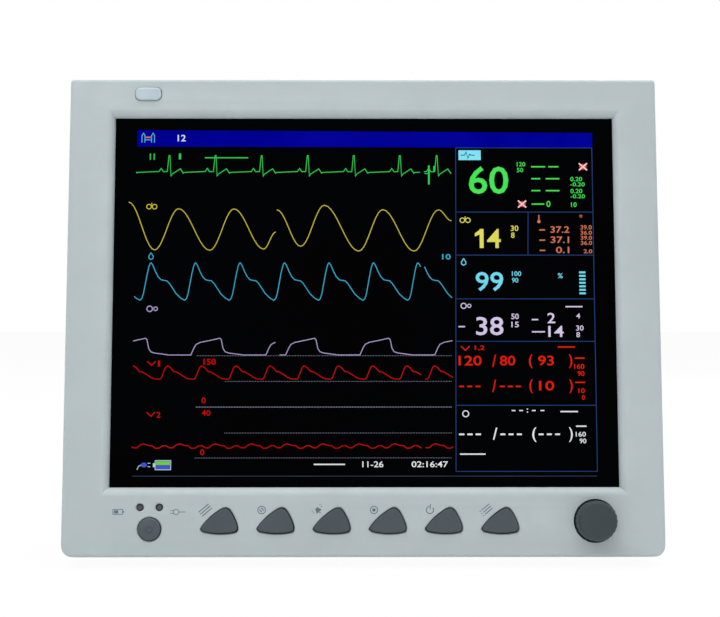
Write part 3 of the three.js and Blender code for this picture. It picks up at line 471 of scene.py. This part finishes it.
# One beat of each trace: distance after its peak, height against the peak, in millimetres.
ECG_BEAT = [(-17, -9.3), (-5.6, -8.8), (-4.4, -7.1), (-3.2, -8.9), (-1.1, -8.8), (-0.25, 0), (0.25, 0),
            (0.9, -11.3), (1.6, -10.2), (6.0, -7.3), (7.6, -9.7), (8.1, -9.3)]
PLETH_BEAT = [(0, 0), (0.9, -1.2), (2.4, -4.8), (3.9, -7.6), (5.4, -9.2), (7.0, -9.6), (8.6, -9.8),
              (10.0, -11.2), (12.0, -14.2), (13.7, -16.8), (16.2, -19.2), (18.3, -20.4), (19.3, -19.4),
              (20.1, -16.8), (21.1, -11.2), (22.1, -5.6), (22.9, -2.0), (23.5, -0.4)]
ART_BEAT = [(0, 0), (1.4, -0.9), (3.2, -3.0), (4.5, -3.1), (7.0, -4.6), (9.4, -6.2), (11.0, -6.9),
            (14.0, -7.1), (14.7, -6.6), (15.7, -4.2), (16.8, -1.2), (17.6, -0.2)]
CVP_BEAT = [(0, 0), (2.6, -0.9), (4.4, -1.0), (6.3, -2.4), (8.2, -2.3), (10.2, -1.1), (12.0, -1.0),
            (13.6, -2.1), (15.4, -2.2), (17.4, -0.6)]


def clipped(points, left, right):
    """The part of a run of points between two x values, with its ends cut exactly."""
    kept = []
    for a, b in zip(points, points[1:]):
        if b[0] <= left or a[0] >= right:
            continue
        cut_ends = []
        for x, z in (a, b):
            inside = min(max(x, left), right)
            t = (inside - a[0]) / (b[0] - a[0])
            cut_ends.append((inside, a[1] + t * (b[1] - a[1])))
        if not kept:
            kept.append(cut_ends[0])
        kept.append(cut_ends[1])
    return kept


def beats(shape, period, first_peak, peak_z, left, right):
    points = []
    for n in range(-2, 12):
        points += [(first_peak + n * period + dx, peak_z + dz) for dx, dz in shape]
    points.sort(key=lambda p: p[0])
    return clipped(points, left, right)


def swell(keys, steps=10):
    """Half cosines between the given peaks and troughs."""
    points = []
    for (x0, z0), (x1, z1) in zip(keys, keys[1:]):
        for i in range(steps):
            t = i / steps
            points.append((x0 + (x1 - x0) * t, z0 + (z1 - z0) * (1 - math.cos(math.pi * t)) / 2))
    return points + [keys[-1]]


def breaths(starts, left, right):
    """The stepped carbon dioxide trace: each start is where a breath out begins."""
    points = []
    for x in starts:
        points += [(x, 106.9), (x + 1.6, 110.6), (x + 2.8, 112.6), (x + 5.0, 113.7), (x + 10, 114.7),
                   (x + 15.4, 115.9), (x + 16.2, 115.2), (x + 17.2, 110.4), (x + 18.4, 108.6),
                   (x + 20.5, 107.9), (x + 23, 107.6), (x + 28, 106.9)]
    return clipped(points, left, right)


def trace(name, rgb, runs=()):
    """Lit marks on the first layer, with a line through each run of points."""
    marks = Marks(name, lit(name, rgb), *LIT_LAYER)
    for run in runs:
        marks.line(run, WAVE_WIDTH)
    return marks


def over(name, rgb):
    """Lit marks that lie on those of the first layer."""
    return Marks(name, lit(name, rgb), *TOP_LAYER)


def sweep(shape, period, first_peak, peak_z, after_gap=0.0):
    before = beats(shape, period, first_peak, peak_z, WAVE_LEFT, SWEEP_END)
    after = beats(shape, period, first_peak + after_gap, peak_z, SWEEP_START, WAVE_RIGHT)
    return [before, after]


def traces():
    green = trace("trace_ecg", (52, 205, 84), sweep(ECG_BEAT, 25.05, -105.3, 215.7, -5.0))
    green.line([(35.7, 199.8), (35.7, 210.3)], 0.9)
    green.line([(33.4, 205.8), (36, 205.8)], 0.4)
    green.number("1", 38.2, 39.2, 207.2, 210)
    green.block(-116, -115.4, 213.4, 216.8)
    green.block(-113.9, -113.3, 213.4, 216.8)
    green.number("1", -100.2, -99.0, 213.6, 216.8)
    green.block(-86, -62.5, 214.2, 214.8)
    green.make()
    yellow = trace("trace_breath", (202, 190, 60), [
        swell([(-127, 190), (-112.6, 163.8), (-100, 186.4), (-82.8, 163.6), (-70, 186.3), (-53.8, 164.3),
               (-47.3, 173.6)]),
        swell([(-46.8, 185.8), (-33.8, 165.8), (-21.1, 188.3), (-2.4, 163.2), (10.6, 185.9), (27.5, 163.2),
               (40.8, 185.8), (47.8, 179.8)]),
    ])
    lungs(yellow, -114.5, 187.6)
    yellow.make()
    cyan = trace("trace_pulse", (58, 176, 210), sweep(PLETH_BEAT, 24.0, -114.4, 156.8, 2.2))
    droplet(cyan, -114.5, 160.3)
    cyan.number("10", 42.6, 47.2, 158.6, 161.6)
    cyan.make()
    lilac = trace("trace_gas", (176, 160, 206), [
        breaths([-132.2, -92.4, -52.2], -123.4, -47.2),
        breaths([-41.6, -1.8, 38.3], -44.6, WAVE_RIGHT),
    ])
    lilac.line([(-44.9, 106.9), (-41.6, 106.9)], WAVE_WIDTH)
    lilac.ring(-114.8, 131.8, 1.5, 0.5)
    lilac.ring(-111.6, 131.8, 1.0, 0.45)
    lilac.make()
    red = trace("trace_pressure", (196, 20, 16), sweep(ART_BEAT, 18.3, -104.6, 101.0, -3.4))
    for run in sweep(CVP_BEAT, 19.1, -116.9, 59.5, 2.6):
        red.line(run, WAVE_WIDTH)
    for text, x0, x1, z0, z1 in (
        ("150", -85.6, -79.0, 101.6, 104.9), ("0", -86.4, -84.2, 81.0, 84.2),
        ("40", -86.2, -81.6, 74.4, 77.4), ("0", -86.8, -84.6, 53.4, 56.6),
        ("1", -109.9, -108.8, 100.7, 103.9), ("2", -110.2, -108.2, 73.4, 76.5),
    ):
        red.number(text, x0, x1, z0, z1)
    for z in (102.2, 75.0):
        red.line([(-115.6, z + 1.3), (-113.2, z - 0.9), (-111.2, z + 1.3)], 0.5)
    red.make()
    dotted = trace("trace_scales", (120, 126, 150))
    for x0, z in ((-89.1, 106.5), (-73.9, 92.7), (-74.0, 65.2), (-89.6, 52.0)):
        dotted.dots(x0, 48, z)
    dotted.dots(-89.4, 48, 79.0, 0.85, 0.5)
    dotted.make()


def lungs(marks, x, z):
    marks.line([(x, z + 2.0), (x, z + 0.4)], 0.4)
    marks.ring(x - 1.5, z - 0.1, 1.25, 0.45)
    marks.ring(x + 1.5, z - 0.1, 1.25, 0.45)


def droplet(marks, x, z):
    marks.line([(x, z + 2.0), (x - 1.25, z - 0.1), (x - 1.0, z - 1.2), (x, z - 1.7),
                (x + 1.0, z - 1.2), (x + 1.25, z - 0.1), (x, z + 2.0)], 0.45)


PANEL_LEFT = 50.4
PANEL_LEFT_LOW = 49.2
PANEL_RIGHT = 124.6
PANEL_TOP = 220.1
PANEL_BOTTOM = 44.8
PANEL_LINE = 0.42
BAR_HALF = 0.35


def grid():
    marks = trace("panel_lines", (38, 62, 118))

    def left_at(z):
        rise = (PANEL_LEFT - PANEL_LEFT_LOW) * (z - PANEL_BOTTOM)
        return PANEL_LEFT_LOW + rise / (PANEL_TOP - PANEL_BOTTOM)

    marks.line([(left_at(PANEL_TOP), PANEL_TOP), (left_at(PANEL_BOTTOM), PANEL_BOTTOM)], PANEL_LINE)
    marks.line([(PANEL_RIGHT, PANEL_TOP), (PANEL_RIGHT - 0.2, PANEL_BOTTOM)], PANEL_LINE)
    for z in (PANEL_TOP, 184.6, 161.0, 137.2, 114.2, 79.9, PANEL_BOTTOM):
        marks.line([(left_at(z), z), (PANEL_RIGHT, z)], PANEL_LINE)
    marks.line([(89.4, 184.6), (89.0, 161.0)], PANEL_LINE)
    marks.make()
    base = trace("base_line", (54, 68, 88))
    base.line([(-122.8, 42.4), (124.1, 42.3)], 0.3)
    base.make()


def title_bar():
    bar = trace("title_bar", (0, 0, 150))
    bar.outline([(-122.9, 220.7), (124.8, 220.1), (124.9, 228.4), (-122.9, 229.8)])
    bar.make()
    icon = over("title_icon", (90, 180, 214))
    for x in (-119.6, -114.4):
        icon.line([(x - 0.8, 222.9), (x - 0.8, 226.8), (x, 228.1), (x + 0.8, 226.8), (x + 0.8, 222.9)], 0.45)
    icon.line([(-118.6, 224.4), (-115.4, 224.4)], 0.45)
    icon.make()
    warm = over("title_icon_bar", (214, 120, 96))
    warm.line([(-118.4, 225.8), (-115.6, 225.8)], 0.8)
    warm.make()
    words = over("title_number", (222, 226, 240))
    words.number("12", -101.0, -96.6, 223.6, 227.2)
    words.make()


# Each entry: the digits, then left, right, bottom and top on the face.
GREEN_NUMBERS = [
    ("60", 57.4, 78.9, 194.6, 209.8), ("120", 83.6, 88.2, 209.8, 212.2), ("50", 83.6, 87.0, 206.6, 209.0),
    ("0", 99.4, 101.6, 187.4, 190.8), ("0.20", 112.6, 119.0, 201.6, 204.0),
    ("-0.20", 112.6, 120.4, 198.8, 201.0),
    ("0.20", 112.6, 119.0, 195.0, 197.4), ("-0.20", 112.6, 120.4, 192.2, 194.4),
    ("10", 112.8, 115.8, 187.4, 190.0),
]
GREEN_BARS = [(91.4, 99.0, 209.6), (100.8, 106.2, 209.6), (91.4, 96.2, 203.0), (99.2, 106.6, 203.0),
              (91.4, 96.2, 196.4), (99.2, 106.6, 196.4), (91.4, 98.2, 189.0)]
YELLOW_NUMBERS = [
    ("4", 67.0, 74.4, 164.9, 175.3), ("30", 79.9, 84.0, 174.2, 177.2),
    ("8", 80.0, 81.9, 170.4, 173.4),
]
ORANGE_NUMBERS = [
    ("37.2", 101.4, 111.6, 173.2, 176.8), ("37.1", 101.4, 111.4, 167.6, 171.2),
    ("0.1", 104.2, 111.4, 162.1, 165.6),
    ("39.0", 117.7, 123.8, 175.0, 177.4), ("36.0", 117.7, 123.8, 172.2, 174.4),
    ("39.0", 117.7, 123.8, 169.4, 171.6),
    ("36.0", 117.7, 123.8, 166.6, 168.8), ("2.0", 119.2, 123.8, 162.0, 164.2),
]
CYAN_NUMBERS = [
    ("99", 60.6, 75.5, 141.4, 151.8), ("100", 80.2, 85.2, 149.6, 152.2),
    ("90", 80.2, 83.6, 146.0, 148.6),
]
LILAC_NUMBERS = [
    ("38", 60.6, 75.3, 117.5, 127.4), ("50", 79.6, 83.6, 126.2, 129.2), ("15", 79.6, 83.6, 121.8, 124.8),
    ("2", 99.0, 103.2, 124.0, 129.6), ("14", 99.4, 107.6, 116.6, 122.6), ("4", 114.6, 116.6, 126.6, 129.4),
    ("30", 114.4, 118.4, 120.0, 122.8), ("8", 114.4, 116.4, 116.4, 119.2),
]
RED_NUMBERS = [
    ("120", 51.0, 63.4, 101.2, 106.5), ("/", 69.0, 71.2, 100.4, 107.0), ("80", 73.2, 81.4, 101.2, 106.5),
    ("(", 88.8, 90.6, 99.8, 107.2), ("93", 93.7, 102.1, 101.2, 106.5), (")", 110.2, 112.0, 99.8, 107.2),
    ("/", 69.0, 71.0, 87.0, 93.6), ("(", 88.8, 90.6, 86.4, 93.8), ("10", 94.0, 102.1, 87.8, 93.0),
    (")", 110.2, 112.0, 86.4, 93.8), ("160", 113.0, 118.4, 99.4, 102.0), ("90", 114.8, 118.4, 95.6, 98.2),
    ("10", 115.0, 118.4, 86.4, 89.0), ("0", 116.8, 118.4, 82.8, 85.4),
]
WHITE_NUMBERS = [
    ("/", 69.0, 71.4, 61.6, 68.0), ("(", 90.0, 92.2, 60.4, 68.2), (")", 109.6, 111.6, 60.4, 68.2),
    ("160", 113.2, 118.6, 63.2, 65.8), ("90", 115.2, 118.8, 59.6, 62.2),
    ("11-26", -0.6, 10.6, 47.0, 50.2), ("02:16:47", 25.6, 45.0, 47.0, 50.2),
]


def group(name, rgb, numbers):
    """Lit marks that start with the given digits."""
    marks = trace(name, rgb)
    for text, x0, x1, z0, z1 in numbers:
        marks.number(text, x0, x1, z0, z1)
    return marks


def readings():
    green = group("readings_heart", (70, 226, 84), GREEN_NUMBERS)
    for x0, x1, z in GREEN_BARS:
        green.block(x0, x1, z - BAR_HALF, z + BAR_HALF)
    green.make()
    yellow = group("readings_breath", (224, 220, 92), YELLOW_NUMBERS)
    yellow.block(63.0, 65.1, 164.9, 175.3)
    yellow.outline([(60.4, 171.2), (63.2, 172.4), (63.6, 175.2), (60.4, 172.9)])
    lungs(yellow, 55.2, 180.2)
    yellow.make()
    orange = group("readings_warmth", (206, 118, 84), ORANGE_NUMBERS)
    orange.line([(95.2, 183.0), (95.2, 179.8)], 0.6)
    orange.disc(95.2, 179.4, 0.9)
    orange.ring(118.0, 182.4, 0.6, 0.3)
    for z in (174.8, 169.2, 163.6):
        orange.block(95.4, 98.4, z - BAR_HALF, z + BAR_HALF)
    orange.make()
    cyan = group("readings_oxygen", (118, 220, 242), CYAN_NUMBERS)
    for i in range(7):
        cyan.block(116.5, 119.9, 139.7 + 1.9 * i, 140.7 + 1.9 * i)
    cyan.number("%", 105.0, 107.6, 148.4, 151.2)
    droplet(cyan, 54.2, 157.2)
    cyan.make()
    lilac = group("readings_gas", (214, 200, 232), LILAC_NUMBERS)
    lilac.ring(54.0, 133.4, 1.4, 0.5)
    lilac.ring(57.0, 133.4, 0.9, 0.45)
    lilac.block(51.2, 54.6, 121.8, 122.5)
    lilac.block(90.6, 94.0, 125.6, 126.3)
    lilac.block(90.6, 97.6, 119.0, 119.7)
    lilac.block(108.8, 118.0, 132.6, 133.3)
    lilac.make()
    red = group("readings_pressure", (224, 34, 16), RED_NUMBERS)
    for i in range(3):
        red.block(51.2 + 4.4 * i, 53.8 + 4.4 * i, 89.6, 90.4)
        red.block(73.0 + 4.3 * i, 75.6 + 4.3 * i, 89.6, 90.4)
    red.line([(52.4, 111.6), (54.8, 109.4), (57.0, 111.6)], 0.55)
    red.number("1,2", 59.8, 65.0, 109.2, 112.0)
    red.block(104.4, 113.6, 110.8, 111.5)
    red.block(113.4, 118.6, 104.8, 105.5)
    red.block(113.4, 118.6, 91.8, 92.5)
    red.make()
    white = group("readings_cuff", (226, 230, 234), WHITE_NUMBERS)
    for i in range(3):
        white.block(51.0 + 4.4 * i, 53.8 + 4.4 * i, 64.0, 64.9)
        white.block(73.0 + 4.4 * i, 75.6 + 4.4 * i, 64.0, 64.9)
        white.block(93.4 + 4.4 * i, 96.0 + 4.4 * i, 64.0, 64.9)
    for x in (79.2, 83.2, 90.0, 94.6):
        white.block(x, x + 2.0, 76.8, 77.4)
    white.disc(87.6, 77.9, 0.35)
    white.disc(87.6, 76.3, 0.35)
    white.ring(54.6, 75.4, 1.6, 0.5)
    white.block(51.4, 65.0, 53.6, 54.3)
    white.block(105.2, 114.6, 76.2, 76.9)
    white.block(113.4, 119.0, 68.4, 69.1)
    white.block(-26.4, -9.8, 48.2, 48.9)
    white.make()


def status_icons():
    tag = trace("channel_tag", (128, 226, 244))
    tag.block(51.9, 64.0, 213.3, 218.7)
    tag.make()
    mark = over("channel_tag_mark", (12, 60, 84))
    mark.line([(53.0, 216.0), (55.2, 216.0), (56.0, 217.8), (57.0, 214.2), (57.9, 216.6), (58.6, 216.0),
               (60.8, 216.0)], 0.45)
    mark.make()
    crosses = trace("silence_crosses", (228, 36, 30))
    white = over("silence_crosses_core", (232, 214, 220))
    for x, z in ((119.6, 209.6), (86.2, 189.0)):
        crosses.disc(x, z, 2.1, 1.7, 8)
        white.line([(x - 2.2, z - 1.9), (x + 2.2, z + 1.9)], 0.75)
        white.line([(x - 2.2, z + 1.9), (x + 2.2, z - 1.9)], 0.75)
    crosses.make()
    white.make()
    cell = trace("battery_outline", (170, 204, 226))
    cell.line([(-110.6, 45.8), (-102.4, 45.8), (-102.4, 50.6), (-110.6, 50.6), (-110.6, 45.8)], 0.4)
    cell.block(-111.8, -110.8, 47.2, 49.2)
    cell.line([(-120.2, 45.8), (-119.4, 47.6), (-118, 48.3)], 0.4)
    cell.line([(-114.6, 49.2), (-113.2, 49.2)], 0.35)
    cell.line([(-114.6, 47.4), (-113.2, 47.4)], 0.35)
    cell.make()
    fill = trace("battery_fill", (108, 198, 66))
    fill.block(-110.2, -102.8, 48.2, 50.2)
    fill.make()
    base = trace("battery_base", (70, 78, 206))
    base.block(-110.2, -102.8, 46.2, 48.0)
    base.disc(-116.6, 48.3, 1.6, 1.25)
    base.make()


# ---------------------------------------------------------------- printed pictograms and the painted shadow of the engraved power sign

LABEL_TILT = math.radians(40)
LABEL_BACK = 0.02
LABEL_FRONT = -0.04
LABEL_LEFT_OF_KEY = 7.4
LABEL_HEIGHT = 24.6
# The front and the back of the sign on the power button, whose face stands proud.
SYMBOL_LAYER = (-0.63, -0.58)
KEY_CENTRES = [-75.85, -46.25, -16.65, 12.85, 42.35, 72]


class TiltedMarks(Marks):
    """Marks drawn flat round (0, 0), then turned along a key's slant and placed."""

    def place(self, x, z, angle):
        turn = Matrix.Rotation(angle, 2)
        moved = []
        for vx, vy, vz in self.vertices:
            p = turn @ Vector((vx, vz))
            moved.append((p.x + x, vy, p.y + z))
        self.vertices = moved


def bars_mark(m):
    for i in range(3):
        m.line([(-3.4, 1.4 - 1.4 * i), (3.4, 1.4 - 1.4 * i)], 0.5)


def pause_mark(m):
    m.ring(0, 0, 2.0, 0.45)
    m.line([(-0.65, -1.0), (-0.65, 1.0)], 0.55)
    m.line([(0.65, -1.0), (0.65, 1.0)], 0.55)


def bell_mark(m):
    m.outline([(-1.7, -1.1), (1.7, -1.1), (1.15, 0.2), (0.8, 1.3), (-0.8, 1.3), (-1.15, 0.2)])
    m.disc(0, -1.7, 0.4, None, 10)
    m.line([(-3.0, 1.4), (-2.3, 1.4)], 0.4)
    m.line([(2.3, 1.4), (3.0, 1.4)], 0.4)
    m.line([(-3.0, 0.2), (-2.3, 0.2)], 0.4)
    m.line([(2.3, 0.2), (3.0, 0.2)], 0.4)


def record_mark(m):
    m.ring(0, 0, 1.9, 0.45)
    m.disc(0, 0, 0.9, None, 14)


def cuff_mark(m):
    m.ring(0, 0, 1.9, 0.5, 60, 300)
    m.line([(0.2, 0.2), (2.2, 2.2)], 0.5)


def list_mark(m):
    for i in range(3):
        m.disc(-3.0, 1.4 - 1.4 * i, 0.34, None, 8)
        m.line([(-2.0, 1.4 - 1.4 * i), (3.2, 1.4 - 1.4 * i)], 0.45)


def labels():
    ink = ink_and_shadow("label_ink", (88, 102, 116))
    drawings = [bars_mark, pause_mark, bell_mark, record_mark, cuff_mark, list_mark]
    for i, (x, draw) in enumerate(zip(KEY_CENTRES, drawings)):
        marks = TiltedMarks(f"key_label_{i + 1}", ink, LABEL_FRONT, LABEL_BACK)
        draw(marks)
        marks.place(x - LABEL_LEFT_OF_KEY, LABEL_HEIGHT, LABEL_TILT)
        marks.make()
    charge = Marks("charge_label", ink, LABEL_FRONT, LABEL_BACK)
    charge.line([(-131.8, 22.4), (-126.8, 22.4), (-126.8, 25.0), (-131.8, 25.0), (-131.8, 22.4)], 0.36)
    charge.block(-126.5, -125.9, 23.2, 24.2)
    charge.block(-131.2, -129.0, 22.9, 24.5)
    charge.make()
    power = Marks("power_label", ink, LABEL_FRONT, LABEL_BACK)
    power.ring(-98.6, 23.6, 1.4, 0.36)
    power.line([(-97.1, 23.6), (-93.8, 23.6)], 0.36)
    power.line([(-101.6, 24.3), (-99.9, 24.3)], 0.3)
    power.line([(-101.6, 22.9), (-99.9, 22.9)], 0.3)
    power.make()
    # Painted shadow: the engraved power sign is a flat dark mark standing for the shade inside its groove.
    symbol = Marks("power_symbol", ink_and_shadow("engraved_shadow", (40, 46, 50)), *SYMBOL_LAYER)
    symbol.ring(-112.6, 14.5, 1.75, 0.3, 115, 310)
    symbol.line([(-112.6, 14.9), (-112.6, 16.6)], 0.3)
    symbol.make("power_button", "key_plastic")


# ---------------------------------------------------------------- room, light, camera


AMBIENT = 0.36
FLOOR_HALF = 6.0
# How much of the floor's look is plain white where a ray sees it, so that the room has no far edge.
FLOOR_WHITE = 0.96


def seen_rays(tree):
    """1 for a ray from the camera, off a glossy surface or through a clear one, else 0."""
    path = tree.nodes.new("ShaderNodeLightPath")
    seen = path.outputs["Is Camera Ray"]
    for kind in ("Is Glossy Ray", "Is Transmission Ray"):
        either = tree.nodes.new("ShaderNodeMath")
        either.operation = "MAXIMUM"
        tree.links.new(seen, either.inputs[0])
        tree.links.new(path.outputs[kind], either.inputs[1])
        seen = either.outputs[0]
    return seen


def backdrop():
    n = Nodes("pale_floor")
    colour = n.ramp(n.noise(3, 2), [(0.3, (0.9, 0.9, 0.9, 1)), (0.7, (0.93, 0.93, 0.93, 1))])
    n.link(colour, n.shader.inputs["Base Color"])
    n.shader.inputs["Roughness"].default_value = 0.9
    glow = n.add("ShaderNodeEmission")
    glow.inputs["Strength"].default_value = 1.0
    share = n.spread(seen_rays(n.tree), 0.0, FLOOR_WHITE)
    blend = n.add("ShaderNodeMixShader")
    n.link(share, blend.inputs[0])
    n.link(n.shader.outputs["BSDF"], blend.inputs[1])
    n.link(glow.outputs["Emission"], blend.inputs[2])
    n.link(blend.outputs["Shader"], n.output.inputs["Surface"])
    mesh = bpy.data.meshes.new("floor")
    corners = [(-FLOOR_HALF, -FLOOR_HALF, 0), (FLOOR_HALF, -FLOOR_HALF, 0),
               (FLOOR_HALF, FLOOR_HALF, 0), (-FLOOR_HALF, FLOOR_HALF, 0)]
    mesh.from_pydata(corners, [], [(0, 1, 2, 3)])
    mesh.materials.append(n.material)
    floor = bpy.data.objects.new("floor", mesh)
    bpy.context.collection.objects.link(floor)


def world():
    made = bpy.data.worlds.new("studio")
    bpy.context.scene.world = made
    made.use_nodes = True
    tree = made.node_tree
    tree.nodes.clear()
    ambient = tree.nodes.new("ShaderNodeBackground")
    ambient.inputs["Color"].default_value = (0.97, 0.99, 1.0, 1)
    ambient.inputs["Strength"].default_value = AMBIENT
    white = tree.nodes.new("ShaderNodeBackground")
    white.inputs["Color"].default_value = (1, 1, 1, 1)
    white.inputs["Strength"].default_value = 1.0
    blend = tree.nodes.new("ShaderNodeMixShader")
    output = tree.nodes.new("ShaderNodeOutputWorld")
    tree.links.new(seen_rays(tree), blend.inputs[0])
    tree.links.new(ambient.outputs[0], blend.inputs[1])
    tree.links.new(white.outputs[0], blend.inputs[2])
    tree.links.new(blend.outputs[0], output.inputs["Surface"])


def lamp(name, place, target, size, power):
    data = bpy.data.lights.new(name, "AREA")
    data.shape = "RECTANGLE"
    data.size, data.size_y = size
    data.energy = power
    made = bpy.data.objects.new(name, data)
    made.location = place
    made.rotation_euler = (Vector(target) - Vector(place)).to_track_quat("-Z", "Y").to_euler()
    bpy.context.collection.objects.link(made)


def lights():
    lamp("key_light", (-0.6, -0.7, 1.1), (0, 0, 0.15), (1.0, 0.8), 4.6)
    lamp("top_light", (0.1, -0.15, 1.9), (0, 0, 0.1), (1.6, 1.6), 30)
    lamp("side_light", (1.0, -0.5, 0.6), (0, 0, 0.15), (0.6, 0.6), 0.35)
    lamp("back_light", (0.6, 1.6, 1.1), (0, 0, 0.12), (1.4, 1.0), 12)


# Where the camera stands, how far it looks down and to the right in radians, and its lens in millimetres.
CAMERA_PLACE = (-0.006338, -0.868952, 0.140502)
CAMERA_DOWN = 0.00501
CAMERA_RIGHT = 0.00556
SENSOR_WIDTH = 36
LENS = 76.3815


def camera():
    data = bpy.data.cameras.new("camera")
    data.sensor_width = SENSOR_WIDTH
    data.lens = LENS
    data.clip_start = 0.02
    data.clip_end = 40
    made = bpy.data.objects.new("camera", data)
    made.location = CAMERA_PLACE
    made.rotation_euler = (math.pi / 2 - CAMERA_DOWN, 0, -CAMERA_RIGHT)
    bpy.context.collection.objects.link(made)
    bpy.context.scene.camera = made


def main():
    bpy.context.scene.view_settings.view_transform = "Standard"
    camera()
    world()
    lights()
    backdrop()
    dress_nodes()
    title_bar()
    grid()
    traces()
    readings()
    status_icons()
    labels()


main()
